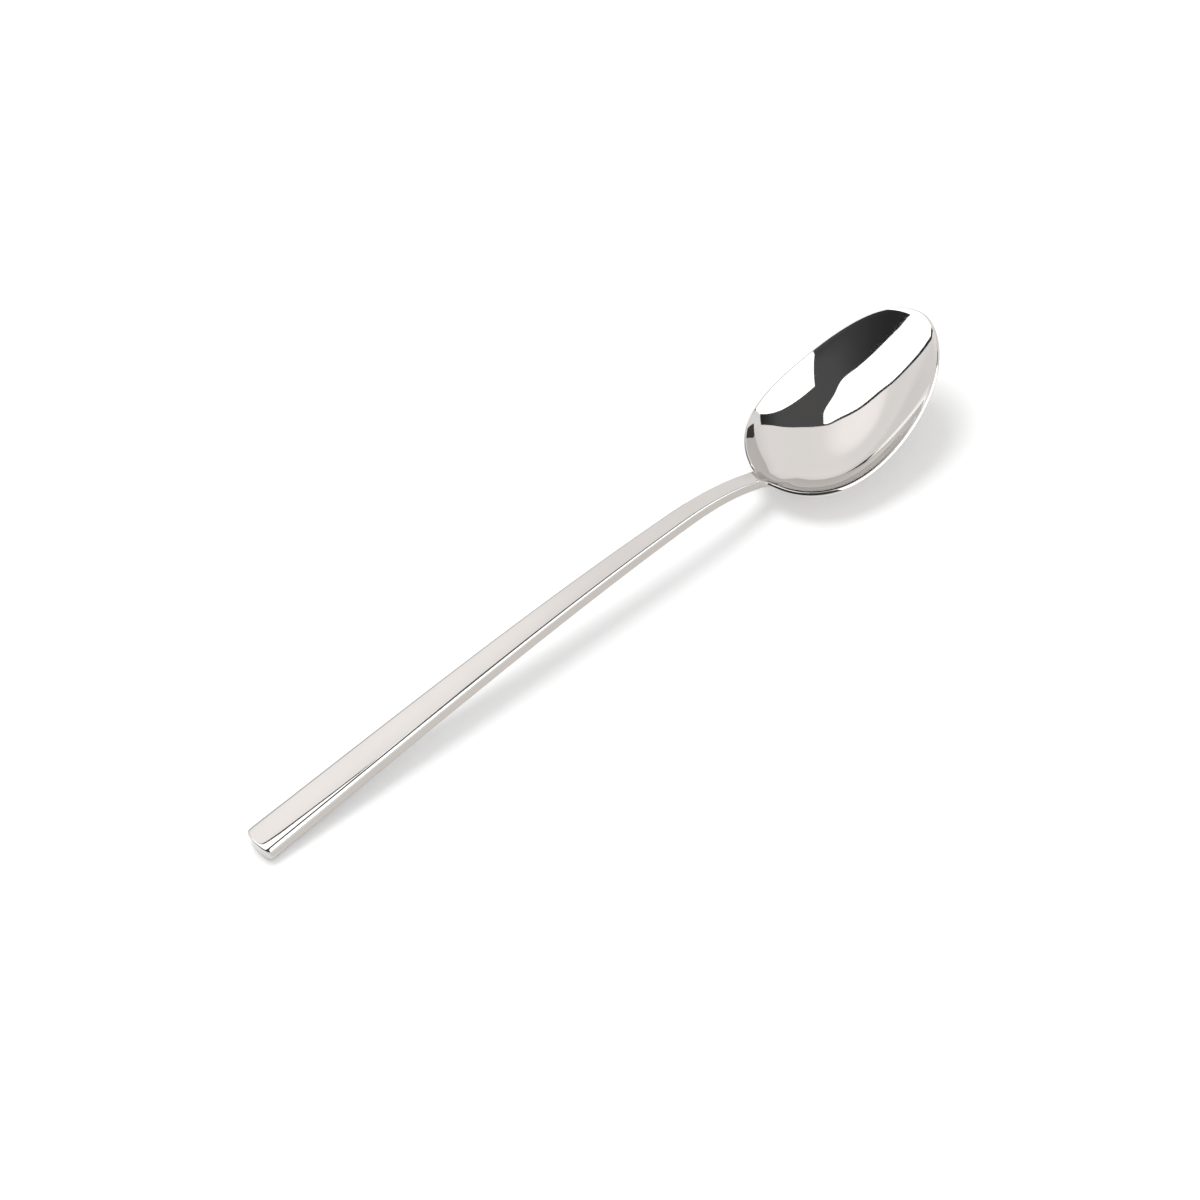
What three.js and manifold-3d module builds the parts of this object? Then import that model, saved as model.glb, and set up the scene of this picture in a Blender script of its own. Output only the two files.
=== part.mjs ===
// A tablespoon in polished stainless steel: a slim forged bar handle brazed to a pressed bowl.
// Millimetres. X runs from the handle's butt to the bowl's tip, Z is up, and the spoon is
// symmetric about Y = 0. The origin is on the table, under the middle of the spoon's length.

import * as THREE from 'three';
import { mergeVertices } from 'three/addons/utils/BufferGeometryUtils.js';
import Module from 'manifold-3d';

const wasm = await Module();
wasm.setup();

// Whole spoon
const FOOT_CUT = 0.2;           // how deep the underside is ground flat where it rests

// Handle: a bar with a flat top, its spine a low arch that bends down at the neck
const HANDLE_LENGTH = 146;
const BUTT_WIDTH = 10;
const CROWN_WIDTH = 5;          // at the arch's highest place
const NECK_WIDTH = 4.1;         // where the handle meets the bowl
const BUTT_THICKNESS = 3.75;
const MID_THICKNESS = 3.95;
const NECK_THICKNESS = 3.5;
const CROWN_SETBACK = 21;       // from the handle's joint back to the arch's highest place
const CROWN_HEIGHT = 13;        // top face above the table
const BUTT_SLOPE = 0.1;         // rise of the top face at the butt
const NECK_SLOPE = -0.5;        // fall of the top face at the bowl
const BUTT_BOW = 0.9;           // how far the butt's end bulges
const BOW_REACH = 3.6;          // how far along the bar that bulge fades
const BUTT_CORNER = 1.1;        // corner radius of the butt in plan
const TOP_EDGE = 0.14;          // radius of the top edges, as a share of the width
const UNDER_EDGE_RADIUS = 1.6;
const TOP_CROWN = 0.03;         // how far the top face swells, as a share of the width

// Bowl: a pointed oval, deepest behind its middle, its rim dipping and then rising to the tip
const BOWL_LENGTH = 51.9;
const BOWL_WIDTH = 37.7;        // across the middle of its length
const BOWL_DEPTH = 7.3;         // at the middle of its length
const DEPTH_SKEW = 0.6;         // how far the deepest place is set back towards the rear
const BOWL_EGG = 0.115;         // how much fuller the rear half is than the front half
const BOWL_SHOULDER = 0.21;     // how full the two ends are
const BOWL_POINT = 1.16;        // 1 gives round ends, and more draws the ends to a point
const REAR_FULLNESS = 0.5;      // 0 gives an even dish, and more gives steeper walls
const TIP_FULLNESS = 0.4;
const RIM_DIP = 8.1;            // fall of the rim's first slope over the bowl's length
const TIP_RISE = 13.4;          // tip of the rim above its rear
const RIM_SWEEP = 1.77;         // power of the rim's upward sweep
const REAR_WALL = 1.75;         // wall, measured upright, at the rear and at the tip
const TIP_WALL = 0.9;
const RIM_EDGE = 0.85;          // width of the edge face, which stands about square to the sheet
const RIM_EDGE_FALL = 45;       // degrees by which the edge face falls outwards
const LIP_DROP = 0.7;           // how far the rim sinks to meet the handle's top face
const LIP_REACH = 5;            // how far along the bowl that sinking fades
const SCOOP_DEPTH = 0.9;        // how far the inside is scooped out towards the neck
const SCOOP_REACH = 6;          // how far along the bowl the scoop fades
const SCOOP_WIDTH = 3.2;        // from the middle to where the scoop is half as deep

// Heel: the root of the bowl, which takes the handle's end and fades out under the bowl
const HEEL_ROOT = 1.7;          // from the braze to the bowl's rear
const HEEL_LENGTH = 9;
const HEEL_WIDTH = 9;

// Braze: the thin film of filler between the handle's end and the heel
const BRAZE_FILM = 0.4;
const BRAZE_BEAD = 0.06;        // how far the film stands proud

// Facets
const RIM_SEGMENTS = 72;
const BOWL_RINGS = 12;
const HANDLE_STEP = 4.5;        // between the bar's sections
const BUTT_STEPS = 3;           // round each corner of the butt
const HEEL_STATIONS = 7;
const EDGE_STEPS = 3;
const UNDER_STEPS = 3;
const SAMPLES = 200;            // for finding the bowl's lowest place

const steel = { color: 0xdcd8d3, metalness: 1, roughness: 0.06 };
const polishedBowl = new THREE.MeshStandardMaterial(steel);
const polishedHandle = new THREE.MeshStandardMaterial(steel);
const brazeMetal = new THREE.MeshStandardMaterial({ color: 0xd6d1c8, metalness: 1, roughness: 0.12 });

const lerp = THREE.MathUtils.lerp;
const degrees = THREE.MathUtils.degToRad;

const rimOut = RIM_EDGE * Math.cos(degrees(RIM_EDGE_FALL));
const rimFall = RIM_EDGE * Math.sin(degrees(RIM_EDGE_FALL));
const length = HANDLE_LENGTH + BRAZE_FILM + HEEL_ROOT + BOWL_LENGTH + rimOut;
const buttX = -length / 2;
const jointX = buttX + HANDLE_LENGTH;
const crownX = jointX - CROWN_SETBACK;
const heelX = jointX + BRAZE_FILM;
const bowlRearX = heelX + HEEL_ROOT;

// Eases from 0 to 1 with no slope at either end.
function ease(t) {
  return t * t * (3 - 2 * t);
}

// Cubic from (x0, y0) to (x1, y1) with the given slopes at its ends.
function blend(x, x0, x1, y0, y1, slope0, slope1) {
  const span = x1 - x0;
  const t = (x - x0) / span;
  const leave = t * (1 - t) * (1 - t) * span * slope0;
  const arrive = t * t * (t - 1) * span * slope1;
  return lerp(y0, y1, ease(t)) + leave + arrive;
}

// Bowl surfaces

function rimShape(f) {
  const lip = LIP_DROP * Math.exp(-((f * BOWL_LENGTH / LIP_REACH) ** 2));
  return (TIP_RISE + RIM_DIP) * f ** RIM_SWEEP - RIM_DIP * f - lip;
}

function wallAt(f) {
  return lerp(REAR_WALL, TIP_WALL, f);
}

// Share of the depth, from 0 at the rim to 1 in the middle of the bowl and a little more behind it.
function hollow(f, across) {
  const t = 4 * f * (1 - f) * (1 + DEPTH_SKEW * (1 - 2 * f)) * across;
  const fullness = lerp(REAR_FULLNESS, TIP_FULLNESS, f);
  return t * (1 + fullness) / (1 + fullness * t);
}

// Height that puts the ground foot of the bowl on the table.
function findRimLift() {
  let lowest = Infinity;
  for (let i = 0; i <= SAMPLES; i++) {
    const f = i / SAMPLES;
    const under = rimShape(f) - BOWL_DEPTH * hollow(f, 1) - wallAt(f);
    lowest = Math.min(lowest, under);
  }
  return -lowest - FOOT_CUT;
}

const rimLift = findRimLift();

function alongBowl(x) {
  return THREE.MathUtils.clamp((x - bowlRearX) / BOWL_LENGTH, 0, 1);
}

function rimHeight(x) {
  return rimLift + rimShape(alongBowl(x));
}

function rimHalfWidth(x) {
  const c = 1 - 2 * alongBowl(x);
  const sine = Math.sqrt(Math.max(0, 1 - c * c));
  return (BOWL_WIDTH / 2) * sine ** BOWL_POINT * (1 + BOWL_EGG * c + BOWL_SHOULDER * c * c);
}

function scoop(x, y) {
  const across = 1 + (y / SCOOP_WIDTH) ** 4;
  return SCOOP_DEPTH * Math.exp(-(((x - bowlRearX) / SCOOP_REACH) ** 2)) / across;
}

function insideHeight(x, y) {
  const f = alongBowl(x);
  const half = rimHalfWidth(x);
  const across = half > 0 ? Math.max(0, 1 - (y / half) ** 2) : 0;
  return rimHeight(x) - scoop(x, y) - BOWL_DEPTH * hollow(f, across);
}

function undersideHeight(x, y) {
  return insideHeight(x, y) - wallAt(alongBowl(x));
}

// Handle spine and section

const neckHeight = rimHeight(bowlRearX);
const buttHeight = BUTT_THICKNESS - FOOT_CUT;

function spineHeight(x) {
  if (x < crownX) return blend(x, buttX, crownX, buttHeight, CROWN_HEIGHT, BUTT_SLOPE, 0);
  return blend(x, crownX, bowlRearX, CROWN_HEIGHT, neckHeight, 0, NECK_SLOPE);
}

function handleWidth(x) {
  const taper = (CROWN_WIDTH - BUTT_WIDTH) / (crownX - buttX);
  if (x < crownX) return BUTT_WIDTH + taper * (x - buttX);
  return blend(x, crownX, jointX, CROWN_WIDTH, NECK_WIDTH, taper, 0);
}

function handleThickness(x) {
  const u = (x - buttX) / HANDLE_LENGTH;
  const ends = BUTT_THICKNESS * (1 - u) * (1 - 2 * u) + NECK_THICKNESS * u * (2 * u - 1);
  return ends + MID_THICKNESS * 4 * u * (1 - u);
}

// Quarter round of a section's corner, from the first angle to the second, in degrees.
function corner(points, y, z, radius, from, to, steps) {
  for (let i = 0; i <= steps; i++) {
    const angle = degrees(lerp(from, to, i / steps));
    points.push([y + radius * Math.cos(angle), z + radius * Math.sin(angle)]);
  }
}

// Section of the bar as [y, z] points, anticlockwise seen from the bowl, starting under its +Y side.
function barSection(width, top, bottom) {
  const half = width / 2;
  const edge = Math.min(TOP_EDGE * width, (top - bottom) / 2);
  const under = Math.min(UNDER_EDGE_RADIUS, half, (top - bottom) - edge);
  const points = [];
  corner(points, half - under, bottom + under, under, -90, 0, UNDER_STEPS);
  corner(points, half - edge, top - edge, edge, 0, 90, EDGE_STEPS);
  points.push([0, top + TOP_CROWN * width]);
  corner(points, edge - half, top - edge, edge, 90, 180, EDGE_STEPS);
  corner(points, under - half, bottom + under, under, 180, 270, UNDER_STEPS);
  return points;
}

// Closed body through rings of [x, y, z] points, each end filled from its own middle point.
function loftGeometry(rings, firstMiddle, lastMiddle) {
  const count = rings[0].length;
  const positions = rings.flat(2);
  const faces = [];
  for (let r = 0; r + 1 < rings.length; r++) {
    for (let i = 0; i < count; i++) {
      const a = r * count + i;
      const b = r * count + (i + 1) % count;
      faces.push(a, b, b + count, a, b + count, a + count);
    }
  }
  const first = rings.length * count;
  const last = first + 1;
  positions.push(...firstMiddle, ...lastMiddle);
  for (let i = 0; i < count; i++) {
    const next = (i + 1) % count;
    const end = (rings.length - 1) * count;
    faces.push(first, next, i, last, end + i, end + next);
  }
  return geometryFrom(positions, faces);
}

function geometryFrom(positions, faces) {
  const geometry = new THREE.BufferGeometry();
  geometry.setAttribute('position', new THREE.Float32BufferAttribute(positions, 3));
  geometry.setIndex(faces);
  geometry.computeVertexNormals();
  return geometry;
}

function sectionRing(x, width, top, bottom) {
  return barSection(width, top, bottom).map(([y, z]) => [x, y, z]);
}

function middleOf(ring) {
  const heights = ring.map((point) => point[2]);
  return [ring[0][0], 0, (Math.max(...heights) + Math.min(...heights)) / 2];
}

// Joins and cuts

function solid(geometry) {
  const mesh = new wasm.Mesh({
    numProp: 3,
    vertProperties: new Float32Array(geometry.getAttribute('position').array),
    triVerts: new Uint32Array(geometry.getIndex().array),
  });
  return new wasm.Manifold(mesh);
}

function geometryOf(manifold) {
  const mesh = manifold.getMesh();
  return geometryFrom(Array.from(mesh.vertProperties), Array.from(mesh.triVerts));
}

// Takes off what reaches below the table, which leaves a small flat foot.
function groundFlat(manifold) {
  const table = new THREE.BoxGeometry(2 * length, 2 * length, length);
  table.translate(0, 0, -length / 2);
  table.deleteAttribute('normal');
  table.deleteAttribute('uv');
  return manifold.subtract(solid(mergeVertices(table)));
}

// Handle

// Places of the sections: close together round the butt's corners, then evenly to the joint.
function handleStations() {
  const stations = [];
  const start = buttX + BUTT_CORNER;
  for (let i = 0; i <= BUTT_STEPS; i++) {
    stations.push(start - BUTT_CORNER * Math.cos(degrees(90 * i / BUTT_STEPS)));
  }
  const count = Math.ceil((jointX - start) / HANDLE_STEP);
  for (let i = 1; i <= count; i++) stations.push(lerp(start, jointX, i / count));
  return stations;
}

function handleRing(x) {
  const inset = Math.max(0, 1 - (x - buttX) / BUTT_CORNER);
  const rounding = BUTT_CORNER * (1 - Math.sqrt(1 - inset * inset));
  const top = spineHeight(x);
  const bottom = top - handleThickness(x);
  const bowing = BUTT_BOW * Math.max(0, 1 - (x - buttX) / BOW_REACH);
  const half = handleWidth(x) / 2;
  const ring = sectionRing(x, handleWidth(x) - 2 * rounding, top, bottom);
  return ring.map(([px, y, z]) => [px + bowing * (y / half) ** 2, y, z]);
}

function makeHandle() {
  const rings = handleStations().map(handleRing);
  const bar = loftGeometry(rings, [buttX, 0, buttHeight / 2], middleOf(rings.at(-1)));
  return geometryOf(groundFlat(solid(bar)));
}

// Braze film

function neckRing(x, proud) {
  const top = spineHeight(jointX);
  return sectionRing(x, NECK_WIDTH + 2 * proud, top + proud, top - NECK_THICKNESS - proud);
}

function makeBraze() {
  const middleX = (jointX + heelX) / 2;
  const rings = [neckRing(jointX, 0), neckRing(middleX, BRAZE_BEAD), neckRing(heelX, 0)];
  return loftGeometry(rings, middleOf(rings[0]), middleOf(rings.at(-1)));
}

// Bowl

// Places on the rim, anticlockwise from the tip, as [x, y].
function rimOutline() {
  const outline = [];
  for (let i = 0; i < RIM_SEGMENTS; i++) {
    const angle = 2 * Math.PI * i / RIM_SEGMENTS;
    const x = bowlRearX + BOWL_LENGTH * (1 + Math.cos(angle)) / 2;
    outline.push([x, Math.sign(Math.sin(angle)) * rimHalfWidth(x)]);
  }
  return outline;
}

// The outer side of the rim's edge face, as [x, y, z] points.
function rimEdge(outline) {
  return outline.map(([x, y], i) => {
    const [nextX, nextY] = outline[(i + 1) % outline.length];
    const [lastX, lastY] = outline.at(i - 1);
    const run = Math.hypot(nextX - lastX, nextY - lastY);
    const outX = rimOut * (nextY - lastY) / run;
    const outY = rimOut * (lastX - nextX) / run;
    return [x + outX, y + outY, insideHeight(x, y) - rimFall];
  });
}

// Closed body between two heights over the bowl's plan. Its lower rim may be given as points.
function dishGeometry(upper, lower, lowerRim) {
  const outline = rimOutline();
  const centreX = bowlRearX + BOWL_LENGTH / 2;
  const positions = [];
  const faces = [];
  const perSide = 1 + BOWL_RINGS * RIM_SEGMENTS;
  for (const height of [upper, lower]) {
    positions.push(centreX, 0, height(centreX, 0));
    for (let ring = 1; ring <= BOWL_RINGS; ring++) {
      const share = Math.sin((Math.PI / 2) * ring / BOWL_RINGS);
      for (const [rimX, rimY] of outline) {
        const x = lerp(centreX, rimX, share);
        const y = rimY * share;
        positions.push(x, y, height(x, y));
      }
    }
  }
  if (lowerRim) positions.splice(-3 * RIM_SEGMENTS, 3 * RIM_SEGMENTS, ...lowerRim.flat());
  const at = (side, ring, i) => side * perSide + 1 + (ring - 1) * RIM_SEGMENTS + i % RIM_SEGMENTS;
  for (let i = 0; i < RIM_SEGMENTS; i++) {
    faces.push(0, at(0, 1, i), at(0, 1, i + 1));
    faces.push(perSide, at(1, 1, i + 1), at(1, 1, i));
    for (let ring = 1; ring < BOWL_RINGS; ring++) {
      faces.push(at(0, ring, i), at(0, ring + 1, i), at(0, ring + 1, i + 1));
      faces.push(at(0, ring, i), at(0, ring + 1, i + 1), at(0, ring, i + 1));
      faces.push(at(1, ring, i), at(1, ring + 1, i + 1), at(1, ring + 1, i));
      faces.push(at(1, ring, i), at(1, ring, i + 1), at(1, ring + 1, i + 1));
    }
    faces.push(at(0, BOWL_RINGS, i), at(1, BOWL_RINGS, i), at(1, BOWL_RINGS, i + 1));
    faces.push(at(0, BOWL_RINGS, i), at(1, BOWL_RINGS, i + 1), at(0, BOWL_RINGS, i + 1));
  }
  return geometryFrom(positions, faces);
}

// The heel starts as the neck's section and spreads and thins until it is lost in the bowl's wall.
function heelGeometry() {
  const rings = [];
  const neckTop = spineHeight(jointX);
  const scooped = insideHeight(bowlRearX, 0);
  for (let i = 0; i < HEEL_STATIONS; i++) {
    const share = i / (HEEL_STATIONS - 1);
    const x = heelX + HEEL_LENGTH * share;
    const spread = ease(share);
    const rootTop = lerp(neckTop, scooped, (x - heelX) / HEEL_ROOT);
    const top = x < bowlRearX ? rootTop : insideHeight(x, 0);
    const root = neckTop - NECK_THICKNESS + NECK_SLOPE * HEEL_LENGTH * share;
    const bottom = lerp(root, undersideHeight(x, 0) + wallAt(alongBowl(x)) / 2, spread);
    rings.push(sectionRing(x, lerp(NECK_WIDTH, HEEL_WIDTH, spread), top, bottom));
  }
  return loftGeometry(rings, middleOf(rings[0]), middleOf(rings.at(-1)));
}

function makeBowl() {
  const headroom = NECK_THICKNESS + TIP_RISE;
  const shell = solid(dishGeometry(insideHeight, undersideHeight, rimEdge(rimOutline())));
  const inside = solid(dishGeometry((x, y) => rimHeight(x) + headroom, insideHeight));
  const heel = solid(heelGeometry()).subtract(inside);
  return geometryOf(groundFlat(shell.add(heel)));
}

// Assembly

const spoon = new THREE.Group();

function addPiece(name, geometry, material) {
  const piece = new THREE.Mesh(geometry, material);
  piece.name = name;
  spoon.add(piece);
}

addPiece('handle', makeHandle(), polishedHandle);
addPiece('braze_film', makeBraze(), brazeMetal);
addPiece('bowl', makeBowl(), polishedBowl);

export default spoon;
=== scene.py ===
"""A polished steel tablespoon on a white studio table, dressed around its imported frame.

The file is laid out as an add-on: property groups hold the sizes and finishes, each operator makes
one piece, and main() runs them in order. Lengths are metres. X runs from the handle's butt to the
bowl's tip, Z is up, and the spoon is symmetric about Y = 0.
"""

import math

import bmesh
import bpy
from bpy.props import FloatProperty, FloatVectorProperty, PointerProperty
from mathutils import Matrix, Vector


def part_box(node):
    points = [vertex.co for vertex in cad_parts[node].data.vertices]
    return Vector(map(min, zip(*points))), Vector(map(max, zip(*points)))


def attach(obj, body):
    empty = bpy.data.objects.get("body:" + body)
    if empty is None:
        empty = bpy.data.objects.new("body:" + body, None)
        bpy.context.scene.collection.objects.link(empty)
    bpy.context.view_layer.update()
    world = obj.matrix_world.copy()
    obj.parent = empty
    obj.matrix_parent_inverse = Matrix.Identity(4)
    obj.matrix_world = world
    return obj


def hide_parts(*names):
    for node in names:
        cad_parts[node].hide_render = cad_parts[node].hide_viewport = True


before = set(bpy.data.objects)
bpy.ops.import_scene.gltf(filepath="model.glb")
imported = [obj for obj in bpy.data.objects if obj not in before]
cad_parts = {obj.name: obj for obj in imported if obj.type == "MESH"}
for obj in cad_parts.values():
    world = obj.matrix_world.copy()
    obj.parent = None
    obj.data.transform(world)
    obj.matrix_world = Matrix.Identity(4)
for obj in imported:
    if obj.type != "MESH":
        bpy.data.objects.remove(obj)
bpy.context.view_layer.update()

bl_info = {
    "name": "Polished tablespoon",
    "version": (1, 0, 0),
    "blender": (4, 5, 0),
    "location": "3D View > Sidebar > Spoon",
    "description": "Builds a polished steel tablespoon piece by piece, with its studio",
    "category": "Object",
}

MM = 0.001

# Fineness of the meshes
RIM_SEGMENTS = 192
BOWL_RINGS = 48
CORNER_STEPS = 4
EDGE_ROWS = 2
NECK_COLUMNS = 5
NECK_STEPS = (0.1, 0.25, 0.45, 0.7, 0.9, 0.97, 1.0)
BAR_STEP = 2.0 * MM
BAR_MIDDLE_COLUMNS = 8
BAR_EDGE_ANGLES = (90, 78, 66, 56, 48, 40, 33, 27, 21, 15, 9, 4, 0)
BAR_ROWS = (0.0, 0.03, 0.2, 0.4, 0.6, 0.8, 0.97, 1.0)
BUTT_INSETS = (0.0, 0.04, 0.12, 0.3, 0.5, 0.8)
BRAZE_STEPS = (0.0, 0.12, 0.3, 0.5, 0.7, 0.88, 1.0)
LIFT_SAMPLES = 200
SMOOTH_ANGLE = math.radians(38)
POINT_NUMBER = "point_number"
CUT_THRESHOLD = 1e-7

BOWL_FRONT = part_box("bowl")[1].x
HANDLE_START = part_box("handle")[0].x
HANDLE_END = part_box("handle")[1].x
FILM_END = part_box("braze_film")[1].x


# Properties

def length(name, description, default):
    return FloatProperty(name=name, description=description, default=default, unit="LENGTH", precision=5)


def number(name, description, default):
    return FloatProperty(name=name, description=description, default=default, precision=3)


def angle(name, description, degrees):
    return FloatProperty(name=name, description=description, default=math.radians(degrees), subtype="ANGLE")


def colour(name, description, default):
    return FloatVectorProperty(
        name=name, description=description, default=default, subtype="COLOR", min=0.0, soft_max=1.0
    )


class BowlSizes(bpy.types.PropertyGroup):
    length: length("Length", "Along the rim line, from the rear to the tip", 51.9 * MM)
    width: length("Width", "Across the middle of the bowl's length", 37.7 * MM)
    depth: length("Depth", "From the rim to the inside in the middle of the bowl's length", 7.3 * MM)
    depth_skew: number("Depth Skew", "How far the deepest place is set back towards the rear", 0.6)
    egg: number("Egg", "How much fuller the rear half is than the front half", 0.115)
    shoulder: number("Shoulder", "How full the two ends are", 0.21)
    point: number("Point", "1 gives round ends, and more draws the ends to a point", 1.16)
    rear_fullness: number("Rear Fullness", "0 gives an even dish, and more gives steeper walls", 0.5)
    tip_fullness: number("Tip Fullness", "The same at the tip", 0.4)
    rim_dip: length("Rim Dip", "Fall of the rim's first slope over the bowl's length", 8.1 * MM)
    tip_rise: length("Tip Rise", "Tip of the rim above its rear", 13.4 * MM)
    rim_sweep: number("Rim Sweep", "Power of the rim's upward sweep", 1.77)
    rear_wall: length("Rear Wall", "Wall at the rear, measured upright", 1.75 * MM)
    tip_wall: length("Tip Wall", "Wall at the tip, measured upright", 0.9 * MM)
    rim_edge: length("Rim Edge", "Width of the edge face, which stands about square to the sheet", 0.85 * MM)
    rim_edge_fall: angle("Rim Edge Fall", "How far the edge face falls outwards", 45)
    rim_round: length("Rim Round", "How far the rim's two corners are rounded back", 0.22 * MM)
    lip_drop: length("Lip Drop", "How far the rim sinks to meet the handle's top face", 0.7 * MM)
    lip_reach: length("Lip Reach", "How far along the bowl that sinking fades", 5.0 * MM)
    scoop_depth: length("Scoop Depth", "How far the inside is scooped out towards the neck", 0.9 * MM)
    scoop_reach: length("Scoop Reach", "How far along the bowl the scoop fades", 6.0 * MM)
    scoop_width: length("Scoop Width", "From the middle to where the scoop is half as deep", 3.2 * MM)
    heel_length: length("Heel Length", "From the braze to where the heel is lost under the bowl", 9.0 * MM)
    heel_width: length("Heel Width", "Width of the heel under the bowl", 9.0 * MM)
    foot_cut: length("Foot Cut", "How deep the underside is worn flat where it rests", 0.2 * MM)


class HandleSizes(bpy.types.PropertyGroup):
    butt_width: length("Butt Width", "Width of the bar at its butt", 10.0 * MM)
    crown_width: length("Crown Width", "Width at the arch's highest place", 5.0 * MM)
    neck_width: length("Neck Width", "Width where the handle meets the bowl", 4.1 * MM)
    butt_thickness: length("Butt Thickness", "Thickness of the bar at its butt", 3.75 * MM)
    mid_thickness: length("Middle Thickness", "Thickness half way along", 3.95 * MM)
    neck_thickness: length("Neck Thickness", "Thickness where the handle meets the bowl", 3.5 * MM)
    crown_setback: length("Crown Setback", "From the joint back to the arch's highest place", 21.0 * MM)
    crown_height: length("Crown Height", "Top face above the table there", 13.0 * MM)
    butt_slope: number("Butt Slope", "Rise of the top face at the butt", 0.1)
    neck_slope: number("Neck Slope", "Slope of the top face at the bowl", -0.5)
    butt_bow: length("Butt Bow", "How far the butt's end bulges", 0.9 * MM)
    bow_reach: length("Bow Reach", "How far along the bar that bulge fades", 3.6 * MM)
    butt_corner: length("Butt Corner", "Corner radius of the butt in plan", 1.1 * MM)
    top_edge: number("Top Edge", "Radius of the top face's edges, as a share of the width", 0.14)
    end_edge: length("End Edge", "Radius of the edges round the butt's end face", 0.4 * MM)
    under_edge: length("Under Edge", "Radius of the underside's edges", 1.6 * MM)
    top_crown: number("Top Crown", "How far the top face swells, as a share of the width", 0.03)
    butt_crown: number("Butt Crown", "The same at the butt", 0.05)
    crown_reach: length("Crown Reach", "How far along the bar the butt's fuller crown fades", 60.0 * MM)
    bead: length("Braze Bead", "How far the braze stands proud of the neck", 0.015 * MM)


class SteelFinish(bpy.types.PropertyGroup):
    steel: colour("Steel", "Colour of the polished steel", (0.66, 0.645, 0.63))
    braze: colour("Braze", "Colour of the polished braze", (0.64, 0.62, 0.585))
    smoothest: number("Smoothest", "Roughness of the mirror polish where it is best", 0.015)
    roughest: number("Roughest", "Roughness along the polishing lines", 0.045)


class StudioSettings(bpy.types.PropertyGroup):
    azimuth: angle("Azimuth", "How far the camera stands to the left of the -Y axis", 21.763)
    elevation: angle("Elevation", "Camera above the horizon", 49.996)
    roll: angle("Roll", "How far the picture is turned anticlockwise", 17.997)
    distance: length("Distance", "From the camera to the point it looks at", 1.5)
    frame_width: length("Frame Width", "Width of the picture at that point", 0.27914)


# Shapes

def lerp(a, b, share):
    return a + (b - a) * share


def ease(t):
    return t * t * (3 - 2 * t)


def blend(x, x0, x1, y0, y1, slope0, slope1):
    """Cubic from (x0, y0) to (x1, y1) with the given slopes at its ends."""
    span = x1 - x0
    t = (x - x0) / span
    leave = t * (1 - t) ** 2 * span * slope0
    arrive = t * t * (t - 1) * span * slope1
    return lerp(y0, y1, ease(t)) + leave + arrive


def round_drop(radius, inset):
    """Fall of a rounded edge at a distance in from the face that it runs into."""
    if inset >= radius:
        return 0.0
    return radius - math.sqrt(radius ** 2 - (radius - inset) ** 2)


class BowlForm:
    """Outline and heights of the bowl, worked out from its sizes."""

    def __init__(self, sizes, neck):
        self.sizes = sizes
        self.rim_out = sizes.rim_edge * math.cos(sizes.rim_edge_fall)
        self.rim_fall = sizes.rim_edge * math.sin(sizes.rim_edge_fall)
        self.rear = BOWL_FRONT - self.rim_out - sizes.length
        self.lift = self.find_lift()
        self.neck = neck

    def find_lift(self):
        """Height that puts the worn foot of the bowl on the table."""
        shares = [i / LIFT_SAMPLES for i in range(LIFT_SAMPLES + 1)]
        lowest = min(self.rim_shape(f) - self.hollow(f, 1.0) - self.wall(f) for f in shares)
        return -lowest - self.sizes.foot_cut

    def along(self, x):
        return min(1.0, max(0.0, (x - self.rear) / self.sizes.length))

    def rim_shape(self, f):
        s = self.sizes
        lip = s.lip_drop * math.exp(-((f * s.length / s.lip_reach) ** 2))
        return (s.tip_rise + s.rim_dip) * f ** s.rim_sweep - s.rim_dip * f - lip

    def wall(self, f):
        return lerp(self.sizes.rear_wall, self.sizes.tip_wall, f)

    def hollow(self, f, across):
        """Depth below the rim, at a share of the length, with across 0 at the rim and 1 in the middle."""
        s = self.sizes
        t = 4 * f * (1 - f) * (1 + s.depth_skew * (1 - 2 * f)) * across
        fullness = lerp(s.rear_fullness, s.tip_fullness, f)
        return s.depth * t * (1 + fullness) / (1 + fullness * t)

    def half_width(self, x):
        s = self.sizes
        c = 1 - 2 * self.along(x)
        sine = math.sqrt(max(0.0, 1 - c * c))
        return s.width / 2 * sine ** s.point * (1 + s.egg * c + s.shoulder * c * c)

    def scoop(self, x, y):
        s = self.sizes
        fade = math.exp(-(((x - self.rear) / s.scoop_reach) ** 2))
        return s.scoop_depth * fade / (1 + (y / s.scoop_width) ** 4)

    def inside(self, x, y):
        f = self.along(x)
        half = self.half_width(x)
        across = max(0.0, 1 - (y / half) ** 2) if half > 0 else 0.0
        return self.lift + self.rim_shape(f) - self.scoop(x, y) - self.hollow(f, across)

    def heel(self, x, y):
        """How far the heel stands below the bowl's own underside."""
        s = self.sizes
        share = min(1.0, (x - FILM_END) / s.heel_length)
        plain = self.inside(x, 0) - self.wall(self.along(x))
        root = self.neck.bottom + self.neck.slope * s.heel_length * share
        depth = max(0.0, plain - lerp(root, plain, ease(share)))
        return depth * max(0.0, 1 - (2 * y / s.heel_width) ** 2) ** 2

    def underside(self, x, y):
        return self.inside(x, y) - self.wall(self.along(x)) - self.heel(x, y)


class NeckPlace:
    """Where the handle's end stands, which the bowl's heel takes up."""

    def __init__(self, top, thickness, slope):
        self.top = top
        self.bottom = top - thickness
        self.slope = slope


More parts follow.
